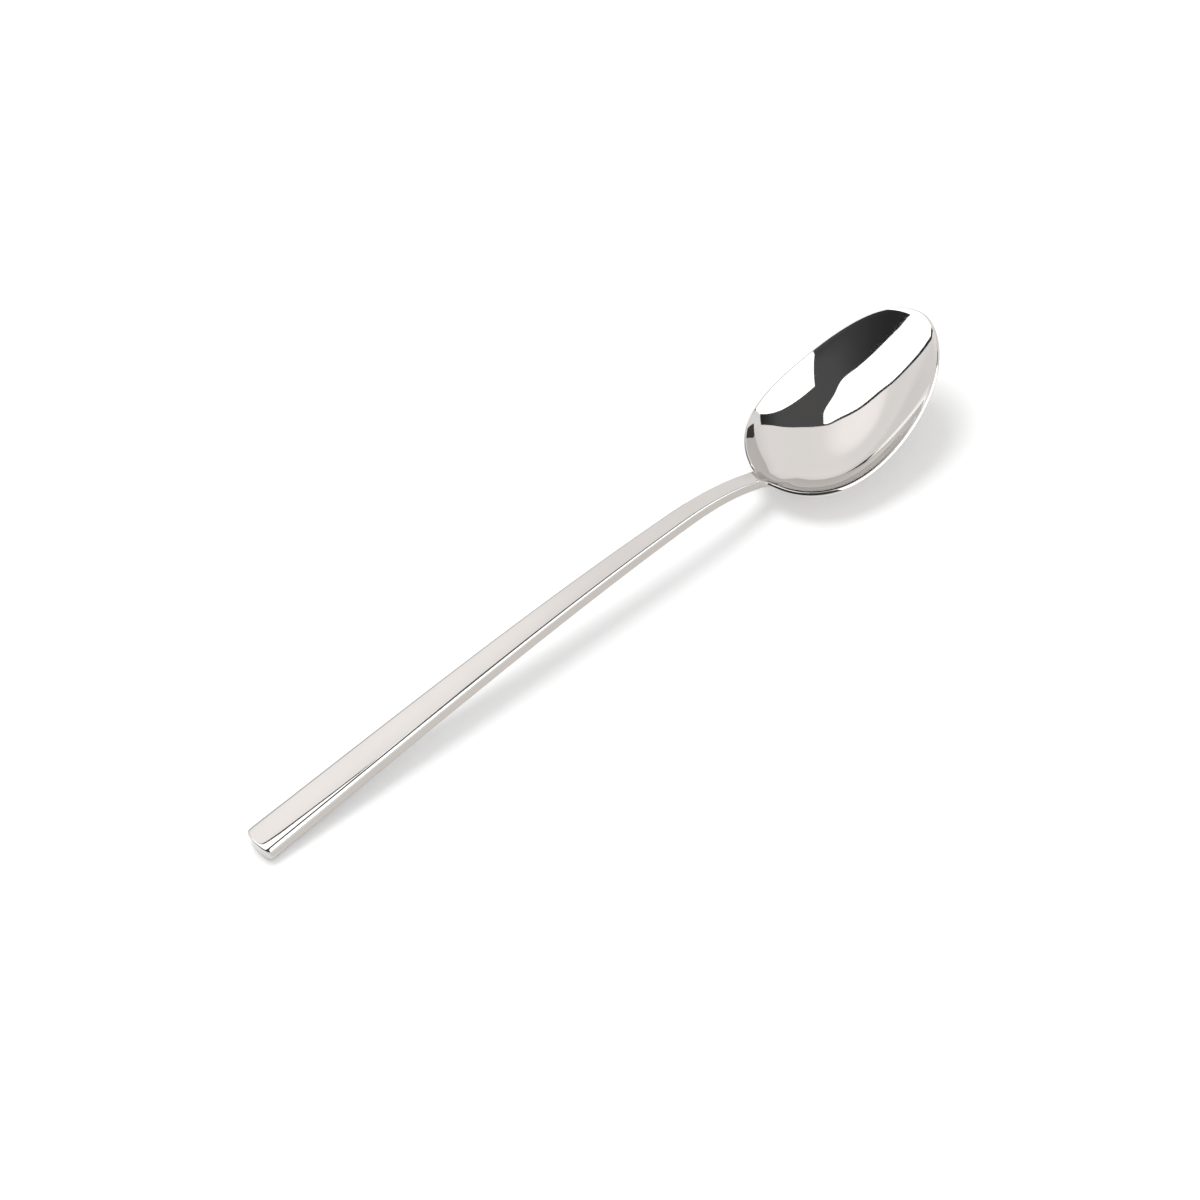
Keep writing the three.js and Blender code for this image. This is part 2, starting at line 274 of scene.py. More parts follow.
class BarForm:
    """Spine and section of the handle, worked out from its sizes."""

    def __init__(self, sizes, foot_cut, neck_height, bowl_rear):
        self.sizes = sizes
        self.butt_height = sizes.butt_thickness - foot_cut
        self.neck_height = neck_height
        self.bowl_rear = bowl_rear
        self.crown = HANDLE_END - sizes.crown_setback

    def top(self, x):
        s = self.sizes
        if x < self.crown:
            return blend(x, HANDLE_START, self.crown, self.butt_height, s.crown_height, s.butt_slope, 0)
        return blend(x, self.crown, self.bowl_rear, s.crown_height, self.neck_height, 0, s.neck_slope)

    def width(self, x):
        s = self.sizes
        taper = (s.crown_width - s.butt_width) / (self.crown - HANDLE_START)
        if x < self.crown:
            return s.butt_width + taper * (x - HANDLE_START)
        return blend(x, self.crown, HANDLE_END, s.crown_width, s.neck_width, taper, 0)

    def thickness(self, x):
        s = self.sizes
        u = (x - HANDLE_START) / (HANDLE_END - HANDLE_START)
        ends = s.butt_thickness * (1 - u) * (1 - 2 * u) + s.neck_thickness * u * (2 * u - 1)
        return ends + s.mid_thickness * 4 * u * (1 - u)

    def columns(self, half):
        """Places across the bar, close together at its edges."""
        edge = 2 * half * self.sizes.top_edge
        insets = [edge * (1 - math.sin(math.radians(turn))) for turn in BAR_EDGE_ANGLES]
        inner = half - insets[-1]
        middle = [inner * (2 * i / BAR_MIDDLE_COLUMNS - 1) for i in range(1, BAR_MIDDLE_COLUMNS)]
        return [inset - half for inset in insets] + middle + [half - inset for inset in reversed(insets)]

    def swell(self, x):
        """How far the top face swells at x, as a share of the width."""
        s = self.sizes
        near_butt = max(0.0, 1 - (x - HANDLE_START) / s.crown_reach)
        return lerp(s.top_crown, s.butt_crown, near_butt ** 2)

    def height(self, x, y, share, half, top, bottom):
        """Height in the section at y, from the top face at share 0 to the underside at 1."""
        s = self.sizes
        inset = half - abs(y)
        crown = 2 * half * self.swell(x) * (1 - (y / half) ** 2)
        upper = top + crown - round_drop(2 * half * s.top_edge, inset)
        lower = bottom + round_drop(min(s.under_edge, half), inset)
        return lerp(upper, lower, share)

    def section(self, x, half, top, bottom):
        """The section as a patch of points, column by column."""
        return [
            Vector((x, y, self.height(x, y, share, half, top, bottom)))
            for y in self.columns(half)
            for share in BAR_ROWS
        ]


def spoon_forms():
    """The bowl's and the handle's forms, which share the height of the neck."""
    scene = bpy.context.scene
    bowl_sizes, handle_sizes = scene.spoon_bowl, scene.spoon_handle
    bowl = BowlForm(bowl_sizes, None)
    rim_rear = bowl.lift + bowl.rim_shape(0)
    bar = BarForm(handle_sizes, bowl_sizes.foot_cut, rim_rear, bowl.rear)
    bowl.neck = NeckPlace(bar.top(HANDLE_END), handle_sizes.neck_thickness, handle_sizes.neck_slope)
    return bowl, bar


# Modelling helpers

def number_points(obj, chosen):
    """Numbers the chosen mesh points in their order. Points that are extruded from them keep the numbers."""
    mesh = bmesh.from_edit_mesh(obj.data)
    layer = mesh.verts.layers.int.get(POINT_NUMBER) or mesh.verts.layers.int.new(POINT_NUMBER)
    mesh.verts.ensure_lookup_table()
    for number, index in enumerate(chosen):
        mesh.verts[index][layer] = number


def place_selected(obj, points):
    """Moves each selected point to the place that its number has in the list."""
    mesh = bmesh.from_edit_mesh(obj.data)
    layer = mesh.verts.layers.int[POINT_NUMBER]
    selected = [vert for vert in mesh.verts if vert.select]
    if len(selected) != len(points):
        raise RuntimeError(f"{obj.name}: {len(selected)} points are selected, and {len(points)} were given")
    for vert in selected:
        vert.co = points[vert[layer]]
    bmesh.update_edit_mesh(obj.data)


def select_points(obj, wanted):
    """Selects the points whose numbers are wanted, with the edges and faces between them."""
    bpy.ops.mesh.select_all(action="DESELECT")
    mesh = bmesh.from_edit_mesh(obj.data)
    for number, vert in enumerate(mesh.verts):
        if number in wanted:
            vert.select_set(True)
    mesh.select_flush_mode()
    bmesh.update_edit_mesh(obj.data)


def extrude_to(obj, points):
    bpy.ops.mesh.extrude_region()
    place_selected(obj, points)


def start_piece(name):
    """Names the primitive that was just added and opens it for modelling."""
    obj = bpy.context.object
    obj.name = name
    obj.data.name = name
    bpy.ops.object.mode_set(mode="EDIT")
    bpy.ops.mesh.select_mode(type="VERT")
    bpy.ops.mesh.select_all(action="SELECT")
    number_points(obj, range(len(obj.data.vertices)))
    return obj


def finish_piece(obj, node, material):
    """Cuts off what reaches below the table, smooths the piece and puts it in its node's place."""
    bpy.ops.mesh.select_all(action="SELECT")
    bpy.ops.mesh.normals_make_consistent(inside=False)
    bpy.ops.mesh.bisect(
        plane_co=(0, 0, 0), plane_no=(0, 0, 1), use_fill=True, clear_inner=True, threshold=CUT_THRESHOLD
    )
    bpy.ops.object.mode_set(mode="OBJECT")
    obj.data.attributes.remove(obj.data.attributes[POINT_NUMBER])
    bpy.ops.object.shade_smooth_by_angle(angle=SMOOTH_ANGLE)
    obj.data.materials.clear()
    obj.data.materials.append(material)
    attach(obj, "root")
    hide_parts(node)
    return obj


def close_end(obj, loop, point):
    """Closes an open loop of points with faces that meet in one middle point."""
    select_points(obj, set(loop))
    bpy.ops.mesh.extrude_region()
    bpy.ops.mesh.merge(type="CENTER")
    mesh = bmesh.from_edit_mesh(obj.data)
    middle = [vert for vert in mesh.verts if vert.select]
    if len(middle) != 1:
        raise RuntimeError(f"{obj.name}: the end didn't close in one point")
    middle[0].co = point
    bmesh.update_edit_mesh(obj.data)


# Bowl

def rim_line(bowl):
    """Points of the rim, anticlockwise from the tip, each with its outward direction."""
    points = []
    for i in range(RIM_SEGMENTS):
        turn = 2 * math.pi * i / RIM_SEGMENTS
        x = bowl.rear + bowl.sizes.length * (1 + math.cos(turn)) / 2
        y = math.copysign(bowl.half_width(x), math.sin(turn))
        points.append(Vector((x, y, bowl.inside(x, y))))
    outward = []
    for i in range(RIM_SEGMENTS):
        run = points[(i + 1) % RIM_SEGMENTS] - points[i - 1]
        outward.append(Vector((run.y, -run.x, 0)).normalized())
    return points, outward


def bowl_ring(bowl, rim, share, height):
    """A ring of the dish, at a share of the way from its middle to the rim."""
    centre = bowl.rear + bowl.sizes.length / 2
    ring = []
    for point in rim:
        x = lerp(centre, point.x, share)
        y = point.y * share
        ring.append(Vector((x, y, height(x, y))))
    return ring


def rounded_corner(before, corner, after, reach):
    """Rings round a corner between two faces, as a curve that is tangent to both."""
    rings = []
    for step in range(CORNER_STEPS + 1):
        t = step / CORNER_STEPS
        ring = []
        for a, b, c in zip(before, corner, after):
            start = b + (a - b).normalized() * reach
            end = b + (c - b).normalized() * reach
            ring.append(start * (1 - t) ** 2 + b * 2 * t * (1 - t) + end * t ** 2)
        rings.append(ring)
    return rings


def bowl_rings(bowl):
    """Rings from the inside's middle over the rim to the underside's middle, with the neck's first row."""
    rim, outward = rim_line(bowl)
    edge = [p + n * bowl.rim_out - Vector((0, 0, bowl.rim_fall)) for p, n in zip(rim, outward)]
    shares = [(i + 1) / BOWL_RINGS for i in range(BOWL_RINGS - 2)]
    inner = [bowl_ring(bowl, rim, share, bowl.inside) for share in shares]
    outer = [bowl_ring(bowl, rim, share, bowl.underside) for share in reversed(shares)]
    upper = rounded_corner(inner[-1], rim, edge, bowl.sizes.rim_round)
    lower = rounded_corner(rim, edge, outer[0], bowl.sizes.rim_round)
    middle = []
    for row in range(1, EDGE_ROWS):
        share = row / EDGE_ROWS
        middle.append([lerp(a, b, share) for a, b in zip(upper[-1], lower[0])])
    rings = inner + upper + middle + lower + outer
    return rings, len(inner), len(rings) - len(outer)


def neck_patch(rings, first, last):
    """Numbers and places of the rear patch that the neck is drawn from, row by row."""
    rear = RIM_SEGMENTS // 2
    columns = range(rear - NECK_COLUMNS, rear + NECK_COLUMNS + 1)
    numbers = [row * RIM_SEGMENTS + column for row in range(first, last + 1) for column in columns]
    places = [rings[row][column] for row in range(first, last + 1) for column in columns]
    return numbers, places


def neck_end(bowl, bar, rows):
    """The neck's section at the braze, with as many points as the rear patch of the bowl."""
    half = bar.sizes.neck_width / 2
    points = []
    for row in range(rows):
        for column in range(2 * NECK_COLUMNS + 1):
            y = half * (1 - column / NECK_COLUMNS)
            z = bar.height(FILM_END, y, row / (rows - 1), half, bowl.neck.top, bowl.neck.bottom)
            points.append(Vector((FILM_END, y, z)))
    return points


def draw_neck(obj, bowl, bar, rings, first, last):
    """Draws the bowl's rear out to the section of the handle, flared where it leaves the bowl."""
    numbers, root = neck_patch(rings, first, last)
    end = neck_end(bowl, bar, last - first + 1)
    select_points(obj, set(numbers))
    number_points(obj, numbers)
    for step in NECK_STEPS:
        ring = []
        for a, b in zip(root, end):
            point = lerp(a, b, step)
            point.y = lerp(b.y, a.y, (1 - step) ** 2)
            ring.append(point)
        extrude_to(obj, ring)


class SPOON_OT_bowl(bpy.types.Operator):
    """Make the pressed bowl with its rim and the heel that takes the handle"""

    bl_idname = "spoon.bowl"
    bl_label = "Bowl"

    def execute(self, context):
        bowl, bar = spoon_forms()
        rings, first, last = bowl_rings(bowl)
        bpy.ops.object.select_all(action="DESELECT")
        bpy.ops.mesh.primitive_circle_add(vertices=RIM_SEGMENTS)
        obj = start_piece("bowl_shell")
        place_selected(obj, rings[0])
        for ring in rings[1:]:
            extrude_to(obj, ring)
        centre = bowl.rear + bowl.sizes.length / 2
        close_end(obj, range(RIM_SEGMENTS), Vector((centre, 0, bowl.inside(centre, 0))))
        bottom = (len(rings) - 1) * RIM_SEGMENTS
        close_end(obj, range(bottom, bottom + RIM_SEGMENTS), Vector((centre, 0, bowl.underside(centre, 0))))
        draw_neck(obj, bowl, bar, rings, first, last)
        steel = polished_steel("bowl_steel", context.scene.spoon_steel.steel)
        finish_piece(obj, "bowl", steel)
        return {"FINISHED"}


# Handle and braze

def butt_stations(bar):
    s = bar.sizes
    insets = [inset * MM for inset in BUTT_INSETS] + [s.butt_corner, 2 * s.butt_corner]
    return [HANDLE_START + inset for inset in insets]


def bar_stations(bar):
    """Places of the handle's sections, close together round the butt and at the joint."""
    stations = butt_stations(bar)
    start = stations[-1]
    stop = HANDLE_END - bar.sizes.end_edge
    count = math.ceil((stop - start) / BAR_STEP)
    stations += [lerp(start, stop, (i + 1) / count) for i in range(count)]
    return stations + [HANDLE_END]


def bar_ring(bar, x):
    """The section at x, drawn in and bowed near the butt."""
    s = bar.sizes
    inset = x - HANDLE_START
    half = bar.width(x) / 2
    drawn = half - round_drop(s.butt_corner, inset)
    end_drop = round_drop(s.end_edge, inset)
    top = bar.top(x)
    ring = bar.section(x, drawn, top - end_drop, top - bar.thickness(x) + end_drop)
    bow = s.butt_bow * max(0.0, 1 - inset / s.bow_reach)
    for point in ring:
        point.x += bow * (point.y / half) ** 2
    return ring


def start_bar(name):
    """Adds a patch with as many points as a bar's section has, column by column."""
    columns = 2 * len(BAR_EDGE_ANGLES) + BAR_MIDDLE_COLUMNS - 1
    bpy.ops.object.select_all(action="DESELECT")
    bpy.ops.mesh.primitive_grid_add(x_subdivisions=len(BAR_ROWS) - 1, y_subdivisions=columns - 1)
    return start_piece(name)


def draw_bar(obj, rings):
    place_selected(obj, rings[0])
    for ring in rings[1:]:
        extrude_to(obj, ring)


class SPOON_OT_handle(bpy.types.Operator):
    """Make the forged bar handle, from its bowed butt to the joint at the neck"""

    bl_idname = "spoon.handle"
    bl_label = "Handle"

    def execute(self, context):
        bar = spoon_forms()[1]
        obj = start_bar("handle_bar")
        draw_bar(obj, [bar_ring(bar, x) for x in bar_stations(bar)])
        steel = polished_steel("handle_steel", context.scene.spoon_steel.steel)
        finish_piece(obj, "handle", steel)
        return {"FINISHED"}


class SPOON_OT_braze(bpy.types.Operator):
    """Make the thin polished bead of braze between the handle and the bowl"""

    bl_idname = "spoon.braze"
    bl_label = "Braze"

    def execute(self, context):
        bowl, bar = spoon_forms()
        half = bar.sizes.neck_width / 2
        rings = []
        for share in BRAZE_STEPS:
            proud = bar.sizes.bead * math.sin(math.pi * share)
            x = lerp(HANDLE_END, FILM_END, share)
            rings.append(bar.section(x, half + proud, bowl.neck.top + proud, bowl.neck.bottom - proud))
        obj = start_bar("braze_bead")
        draw_bar(obj, rings)
        braze = polished_steel("braze_metal", context.scene.spoon_steel.braze)
        finish_piece(obj, "braze_film", braze)
        return {"FINISHED"}


# Materials

NOISE_LOW = 0.35
NOISE_HIGH = 0.65
SMUDGE_SCALE = 38.0
SMUDGE_DETAIL = 4.0
LINES_SCALE = (25.0, 1800.0, 1800.0)
LINES_DETAIL = 2.0
WAVES_SCALE = 90.0
WAVES_DETAIL = 1.0
WAVES_DEPTH = 0.008 * MM
SMUDGE_SHADE = (0.955, 0.96, 0.965)


def colour_ramp(tree, stops):
    ramp = tree.nodes.new("ShaderNodeValToRGB")
    elements = ramp.color_ramp.elements
    while len(elements) < len(stops):
        elements.new(1.0)
    for element, (position, tint) in zip(elements, stops):
        element.position = position
        element.color = (*tint, 1.0)
    return ramp


def add_noise(tree, place, scale, detail):
    noise = tree.nodes.new("ShaderNodeTexNoise")
    noise.inputs["Scale"].default_value = scale
    noise.inputs["Detail"].default_value = detail
    tree.links.new(place, noise.inputs["Vector"])
    return noise.outputs["Fac"]


def spread_value(tree, value, low, high):
    """Spreads the middle of a noise over a range."""
    spread = tree.nodes.new("ShaderNodeMapRange")
    spread.inputs["From Min"].default_value = NOISE_LOW
    spread.inputs["From Max"].default_value = NOISE_HIGH
    spread.inputs["To Min"].default_value = low
    spread.inputs["To Max"].default_value = high
    tree.links.new(value, spread.inputs["Value"])
    return spread.outputs["Result"]


def polish_group():
    """Faint smudges, lengthwise polishing lines and a slight waviness, shared by the three metals."""
    if "polish_marks" in bpy.data.node_groups:
        return bpy.data.node_groups["polish_marks"]
    finish = bpy.context.scene.spoon_steel
    tree = bpy.data.node_groups.new("polish_marks", "ShaderNodeTree")
    for name in ("Smudge", "Roughness", "Waves"):
        tree.interface.new_socket(name=name, in_out="OUTPUT", socket_type="NodeSocketFloat")
    output = tree.nodes.new("NodeGroupOutput")
    place = tree.nodes.new("ShaderNodeTexCoord").outputs["Object"]
    stretch = tree.nodes.new("ShaderNodeMapping")
    stretch.inputs["Scale"].default_value = LINES_SCALE
    tree.links.new(place, stretch.inputs["Vector"])
    smudge = add_noise(tree, place, SMUDGE_SCALE, SMUDGE_DETAIL)
    lines = add_noise(tree, stretch.outputs["Vector"], 1.0, LINES_DETAIL)
    waves = add_noise(tree, place, WAVES_SCALE, WAVES_DETAIL)
    rough = spread_value(tree, lines, finish.smoothest, finish.roughest)
    tree.links.new(spread_value(tree, smudge, 0.0, 1.0), output.inputs["Smudge"])
    tree.links.new(rough, output.inputs["Roughness"])
    tree.links.new(waves, output.inputs["Waves"])
    return tree


def polished_steel(name, tint):
    material = bpy.data.materials.new(name)
    material.use_nodes = True
    tree = material.node_tree
    shader = tree.nodes["Principled BSDF"]
    shader.inputs["Metallic"].default_value = 1.0
    marks = tree.nodes.new("ShaderNodeGroup")
    marks.node_tree = polish_group()
    shade = tree.nodes.new("ShaderNodeMix")
    shade.data_type = "RGBA"
    shade.inputs["A"].default_value = (*tint, 1.0)
    shade.inputs["B"].default_value = (*[a * b for a, b in zip(tint, SMUDGE_SHADE)], 1.0)
    bump = tree.nodes.new("ShaderNodeBump")
    bump.inputs["Distance"].default_value = WAVES_DEPTH
    tree.links.new(marks.outputs["Smudge"], shade.inputs["Factor"])
    tree.links.new(shade.outputs["Result"], shader.inputs["Base Color"])
    tree.links.new(marks.outputs["Roughness"], shader.inputs["Roughness"])
    tree.links.new(marks.outputs["Waves"], bump.inputs["Height"])
    tree.links.new(bump.outputs["Normal"], shader.inputs["Normal"])
    return material


# Studio

AIM = Vector((-1.2, -1.8, 6.32)) * MM
SENSOR_WIDTH = 36.0
NEAREST_SEEN = 0.01
FLOOR_SIZE = 8.0
FLOOR_GAP = 0.05 * MM
FLOOR_COLOUR = (0.8, 0.8, 0.8)
FLOOR_ROUGHNESS = 0.9
FLOOR_GLOW = 0.24
ROOM_LIGHT = 0.7
ROOM_SHOWN = 1.0
KEY_STRENGTH = 1.4
KEY_SIZE = math.radians(32)
KEY_PLACE = (78, 24)
WHITE = (1, 1, 1, 1)
BLACK = (0, 0, 0, 1)

# Boards on the ceiling, as lines of places in metres
CEILING = 0.45
FLAG_ABOVE = 0.05
CANOPY_EDGE = (
    (-1.5, 2.15), (-0.96, 1.33), (-0.68, 0.91), (-0.485, 0.655), (-0.36, 0.496),
    (-0.195, 0.335), (-0.096, 0.239), (-0.03, 0.188), (0.0, 0.155), (0.055, 0.095),
    (0.12, 0.03), (0.25, -0.07), (0.4, -0.165), (0.6, -0.25), (0.9, -0.35),
)
CANOPY_FAR = (
    (-1.6, 3.0), (-0.9, 2.6), (-0.6, 2.6), (-0.3, 2.6), (0.0, 2.6),
    (0.4, 2.6), (0.8, 2.6), (1.2, 2.6), (1.6, 2.6), (2.0, 2.4),
    (2.3, 2.0), (2.4, 1.5), (2.4, 0.9), (2.4, 0.3), (2.4, -0.4),
)
STRIP_UPPER = (
    (-1.45, 2.0), (-0.9, 1.18), (-0.655, 0.835), (-0.476, 0.613), (-0.355, 0.462),
    (-0.205, 0.323), (-0.104, 0.225), (-0.05, 0.188), (-0.022, 0.165), (-0.012, 0.148),
)
STRIP_LOWER = (
    (-1.4, 1.6), (-0.78, 0.63), (-0.65, 0.45), (-0.565, 0.34), (-0.456, 0.235),
    (-0.342, 0.139), (-0.237, 0.06), (-0.155, 0.073), (-0.065, 0.086), (-0.022, 0.135),
)
WINDOW_TOP = (
    (-0.105, -0.13), (0.0, -0.165), (0.1, -0.2), (0.2, -0.238),
    (0.3, -0.285), (0.4, -0.335), (0.6, -0.44), (0.8, -0.55),
)
WINDOW_FOOT = (
    (-0.37, -1.0), (-0.2, -1.0), (0.0, -1.0), (0.2, -1.0),
    (0.4, -1.0), (0.6, -1.0), (0.8, -1.0), (1.0, -1.0),
)
FLAG_FAR = ((-1.9, 1.8), (-1.0, 1.8), (0.0, 1.2), (0.8, 0.4))
FLAG_NEAR = ((-1.9, -1.3), (-1.0, -1.3), (0.0, -1.3), (0.8, -1.3))

# A painted-shadow sheet on the table in front of the spoon and a low card behind the spoon, as places in
# millimetres
SHADOW_SHEET_BACK = ((-140, -6, 0.6), (120, -6, 0.6))
SHADOW_SHEET_FRONT = ((-140, -350, 0.6), (120, -350, 0.6))
FAR_CARD_TOP = ((-120, 70, 26), (50, 70, 30))
FAR_CARD_FOOT = ((-120, 70, 1), (50, 70, 1))

# Colours of the boards, by the share of a reach that they lie away from a place, and how strongly they glow
LIT_CANOPY = (-0.2, 0.42, CEILING)
CANOPY_REACH = 1.5
CANOPY_STRENGTH = 1.4
CANOPY_STOPS = (
    (0.0, (0.96, 0.93, 0.915)), (0.12, (0.93, 0.9, 0.885)), (0.165, (0.87, 0.845, 0.83)),
    (0.22, (0.77, 0.745, 0.735)), (0.3, (0.75, 0.73, 0.715)), (0.6, (0.77, 0.745, 0.735)),
    (0.95, (0.69, 0.67, 0.66)),
)
SOFTBOX_STRENGTH = 2.2
SOFTBOX_STOPS = ((0.0, (1, 1, 0.995)), (1.0, (0.95, 0.95, 0.945)))
WALL_REACH = 3.0
WALL_STOPS = ((0.0, (0.94, 0.9, 0.885)), (1.0, (0.97, 0.94, 0.925)))
DIM_FLAG = (0.0, -0.13, CEILING)
FLAG_REACH = 1.0
FLAG_STOPS = (
    (0.0, (0.105, 0.105, 0.104)), (0.3, (0.1, 0.1, 0.102)), (0.45, (0.065, 0.065, 0.067)),
    (0.6, (0.045, 0.045, 0.046)), (0.75, (0.033, 0.033, 0.034)), (1.0, (0.03, 0.03, 0.031)),
)
BOWL_MIDDLE = (0.075, 0.0, 0.008)
CARD_REACH = 0.3
# Painted shadow: the sheet in front of the spoon is beige grey and darker towards the bowl, for the table's
# shade as the metal mirrors it
PAINTED_SHADOW_STOPS = ((0.0, (0.86, 0.815, 0.77)), (1.0, (0.93, 0.9, 0.87)))
FAR_STOPS = ((0.0, (0.34, 0.325, 0.31)), (1.0, (0.42, 0.405, 0.39)))

BOARD_ROWS = 7
LINE_PIECES = 5


def camera_axes(studio):
    """Directions in space of the picture's right and up, and of the view."""
    ahead = Vector((math.sin(studio.azimuth), math.cos(studio.azimuth), 0))
    right = Vector((math.cos(studio.azimuth), -math.sin(studio.azimuth), 0))
    view = ahead * math.cos(studio.elevation) - Vector((0, 0, math.sin(studio.elevation)))
    up = ahead * math.sin(studio.elevation) + Vector((0, 0, math.cos(studio.elevation)))
    turn_cos, turn_sin = math.cos(studio.roll), math.sin(studio.roll)
    return right * turn_cos - up * turn_sin, right * turn_sin + up * turn_cos, view


def add_camera(studio):
    right, up, view = camera_axes(studio)
    data = bpy.data.cameras.new("camera")
    camera = bpy.data.objects.new("camera", data)
    bpy.context.scene.collection.objects.link(camera)
    turn = Matrix((right, up, -view)).transposed().to_4x4()
    camera.matrix_world = Matrix.Translation(AIM - view * studio.distance) @ turn
    data.sensor_width = SENSOR_WIDTH
    data.lens = data.sensor_width * studio.distance / studio.frame_width
    data.clip_start = NEAREST_SEEN
    bpy.context.scene.camera = camera


def seen_rays(tree):
    """1 for the rays that show a surface to the camera, straight or by way of metal or glass."""
    path = tree.nodes.new("ShaderNodeLightPath")
    total = path.outputs["Is Camera Ray"]
    for name in ("Is Glossy Ray", "Is Transmission Ray"):
        most = tree.nodes.new("ShaderNodeMath")
        most.operation = "MAXIMUM"
        tree.links.new(total, most.inputs[0])
        tree.links.new(path.outputs[name], most.inputs[1])
        total = most.outputs[0]
    return total


def add_floor():
    """Adds the white table, which shows white to the camera and the metal, and is clear from below."""
    bpy.ops.object.select_all(action="DESELECT")
    bpy.ops.mesh.primitive_plane_add(size=FLOOR_SIZE, location=(0, 0, -FLOOR_GAP))
    floor = bpy.context.object
    floor.name = "table"
    material = bpy.data.materials.new("table_white")
    material.use_nodes = True
    tree = material.node_tree
    shader = tree.nodes["Principled BSDF"]
    shader.inputs["Base Color"].default_value = (*FLOOR_COLOUR, 1)
    shader.inputs["Roughness"].default_value = FLOOR_ROUGHNESS
    shader.inputs["Specular IOR Level"].default_value = 0.0
    shader.inputs["Emission Color"].default_value = WHITE
    seen = seen_rays(tree)
    glow = tree.nodes.new("ShaderNodeMath")
    glow.operation = "MULTIPLY"
    glow.inputs[1].default_value = FLOOR_GLOW
    tree.links.new(seen, glow.inputs[0])
    tree.links.new(glow.outputs[0], shader.inputs["Emission Strength"])
    geometry = tree.nodes.new("ShaderNodeNewGeometry")
    clear = tree.nodes.new("ShaderNodeBsdfTransparent")
    sides = tree.nodes.new("ShaderNodeMixShader")
    tree.links.new(geometry.outputs["Backfacing"], sides.inputs[0])
    tree.links.new(shader.outputs[0], sides.inputs[1])
    tree.links.new(clear.outputs[0], sides.inputs[2])
    tree.links.new(sides.outputs[0], tree.nodes["Material Output"].inputs["Surface"])
    floor.data.materials.append(material)


def add_world():
    """A white room, shown in full to the camera and the metal, and plainer as light."""
    world = bpy.data.worlds.new("studio")
    world.use_nodes = True
    tree = world.node_tree
    level = tree.nodes.new("ShaderNodeMapRange")
    level.inputs["To Min"].default_value = ROOM_LIGHT
    level.inputs["To Max"].default_value = ROOM_SHOWN
    tree.links.new(seen_rays(tree), level.inputs["Value"])
    background = tree.nodes["Background"]
    background.inputs["Color"].default_value = WHITE
    tree.links.new(level.outputs["Result"], background.inputs["Strength"])
    bpy.context.scene.world = world


def towards(azimuth, fall):
    """Direction at an azimuth from +X and an angle down from the zenith, in degrees."""
    turn, drop = math.radians(azimuth), math.radians(fall)
    return Vector((math.sin(drop) * math.cos(turn), math.sin(drop) * math.sin(turn), math.cos(drop)))


def add_key_light():
    """A soft light high up on the far side, which gives the soft shadow."""
    data = bpy.data.lights.new("key", "SUN")
    data.energy = KEY_STRENGTH
    data.angle = KEY_SIZE
    light = bpy.data.objects.new("key", data)
    bpy.context.scene.collection.objects.link(light)
    light.rotation_euler = towards(*KEY_PLACE).to_track_quat("Z", "Y").to_euler()
    light.visible_glossy = False


def smooth_line(points):
    """Points along a smooth curve through the given ones."""
    line = []
    last = len(points) - 1
    for i in range(last):
        a, b = points[max(i - 1, 0)], points[i]
        c, d = points[i + 1], points[min(i + 2, last)]
        for piece in range(LINE_PIECES):
            t = piece / LINE_PIECES
            bend = (c - a) * t * (1 - t) ** 2 - (d - b) * t ** 2 * (1 - t)
            line.append(lerp(b, c, ease(t)) + bend / 2)
    return line + [points[-1]]


def ceiling_line(places, above=0.0):
    return smooth_line([Vector((x, y, CEILING + above)) for x, y in places])


def space_line(places):
    return smooth_line([Vector(place) * MM for place in places])


def board_material(name, centre, reach, stops, strength=1.0):
    """A board that glows by itself, its colour changing with the distance from a place."""
    material = bpy.data.materials.new(name)
    material.use_nodes = True
    tree = material.node_tree
    shader = tree.nodes["Principled BSDF"]
    shader.inputs["Base Color"].default_value = BLACK
    shader.inputs["Specular IOR Level"].default_value = 0.0
    shader.inputs["Emission Strength"].default_value = strength
    place = tree.nodes.new("ShaderNodeTexCoord")
    away = tree.nodes.new("ShaderNodeVectorMath")
    away.operation = "DISTANCE"
    away.inputs[1].default_value = centre
    share = tree.nodes.new("ShaderNodeMapRange")
    share.inputs["From Max"].default_value = reach
    ramp = colour_ramp(tree, stops)
    tree.links.new(place.outputs["Object"], away.inputs[0])
    tree.links.new(away.outputs["Value"], share.inputs["Value"])
    tree.links.new(share.outputs["Result"], ramp.inputs["Fac"])
    tree.links.new(ramp.outputs["Color"], shader.inputs["Emission Color"])
    return material


def add_board(name, first, second, material):
    """A board between two lines of points, which only the metal sees."""
    bpy.ops.object.select_all(action="DESELECT")
    bpy.ops.mesh.primitive_grid_add(x_subdivisions=len(first) - 1, y_subdivisions=BOARD_ROWS - 1)
    board = start_piece(name)
    points = []
    for row in range(BOARD_ROWS):
        points += [lerp(a, b, row / (BOARD_ROWS - 1)) for a, b in zip(first, second)]
    place_selected(board, points)
    bpy.ops.object.mode_set(mode="OBJECT")
    board.data.attributes.remove(board.data.attributes[POINT_NUMBER])
    board.data.materials.append(material)
    board.visible_camera = False
    board.visible_diffuse = False
    board.visible_transmission = False
    board.visible_shadow = False


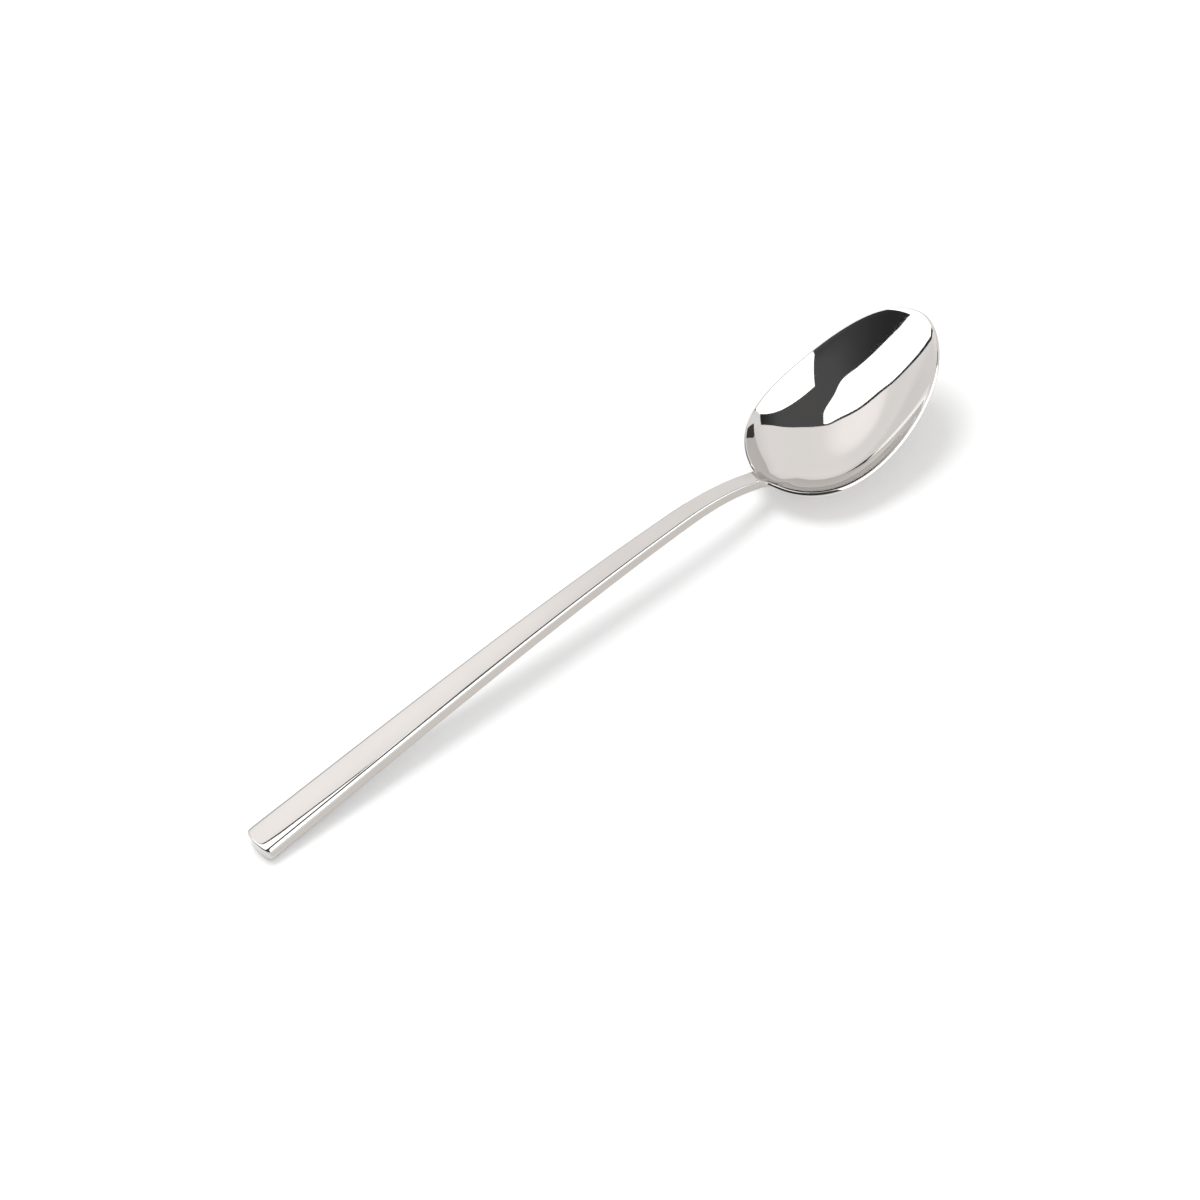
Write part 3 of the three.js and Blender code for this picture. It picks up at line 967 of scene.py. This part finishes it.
def add_ceiling_boards(softbox, black):
    canopy = board_material("canopy_cloth", LIT_CANOPY, CANOPY_REACH, CANOPY_STOPS, CANOPY_STRENGTH)
    wall = board_material("wall_cloth", LIT_CANOPY, WALL_REACH, WALL_STOPS)
    add_board("canopy", ceiling_line(CANOPY_EDGE), ceiling_line(CANOPY_FAR), canopy)
    add_board("far_wall", ceiling_line(CANOPY_FAR), ceiling_line(CANOPY_FAR, -CEILING), wall)
    add_board("strip_light", ceiling_line(STRIP_UPPER), ceiling_line(STRIP_LOWER), softbox)
    add_board("window_light", ceiling_line(WINDOW_TOP), ceiling_line(WINDOW_FOOT), softbox)
    add_board("room_flag", ceiling_line(FLAG_FAR, FLAG_ABOVE), ceiling_line(FLAG_NEAR, FLAG_ABOVE), black)


def add_shadow_sheet_and_far_card():
    # The sheet in front of the spoon is painted shadow, standing in for the shaded table in the metal's
    # reflections
    near = board_material("painted_shadow", BOWL_MIDDLE, CARD_REACH, PAINTED_SHADOW_STOPS)
    far = board_material("far_paper", BOWL_MIDDLE, CARD_REACH, FAR_STOPS)
    add_board("painted_shadow_sheet", space_line(SHADOW_SHEET_BACK), space_line(SHADOW_SHEET_FRONT), near)
    add_board("far_card", space_line(FAR_CARD_TOP), space_line(FAR_CARD_FOOT), far)


def add_boards():
    softbox = board_material("softbox", LIT_CANOPY, CANOPY_REACH, SOFTBOX_STOPS, SOFTBOX_STRENGTH)
    black = board_material("black_cloth", DIM_FLAG, FLAG_REACH, FLAG_STOPS)
    add_ceiling_boards(softbox, black)
    add_shadow_sheet_and_far_card()


class SPOON_OT_stage(bpy.types.Operator):
    """Make the white table, the studio light and the camera"""

    bl_idname = "spoon.stage"
    bl_label = "Stage"

    def execute(self, context):
        context.scene.view_settings.view_transform = "Standard"
        add_camera(context.scene.spoon_studio)
        add_floor()
        add_world()
        add_key_light()
        add_boards()
        return {"FINISHED"}


class SPOON_PT_panel(bpy.types.Panel):
    """Lists the spoon's pieces and sizes"""

    bl_label = "Polished Tablespoon"
    bl_idname = "SPOON_PT_panel"
    bl_space_type = "VIEW_3D"
    bl_region_type = "UI"
    bl_category = "Spoon"

    def draw(self, context):
        layout = self.layout
        for operator in OPERATORS:
            layout.operator(operator.bl_idname)
        for group in GROUPS:
            settings = getattr(context.scene, group)
            layout.label(text=group)
            for name in settings.__annotations__:
                layout.prop(settings, name)


GROUPS = {
    "spoon_bowl": BowlSizes,
    "spoon_handle": HandleSizes,
    "spoon_steel": SteelFinish,
    "spoon_studio": StudioSettings,
}
OPERATORS = (SPOON_OT_bowl, SPOON_OT_handle, SPOON_OT_braze, SPOON_OT_stage)


def register():
    for name, group in GROUPS.items():
        bpy.utils.register_class(group)
        setattr(bpy.types.Scene, name, PointerProperty(type=group))
    for operator in OPERATORS:
        bpy.utils.register_class(operator)
    bpy.utils.register_class(SPOON_PT_panel)


def unregister():
    bpy.utils.unregister_class(SPOON_PT_panel)
    for operator in reversed(OPERATORS):
        bpy.utils.unregister_class(operator)
    for name, group in GROUPS.items():
        delattr(bpy.types.Scene, name)
        bpy.utils.unregister_class(group)


def main():
    register()
    bpy.ops.spoon.handle()
    bpy.ops.spoon.braze()
    bpy.ops.spoon.bowl()
    bpy.ops.spoon.stage()


if __name__ == "__main__":
    main()
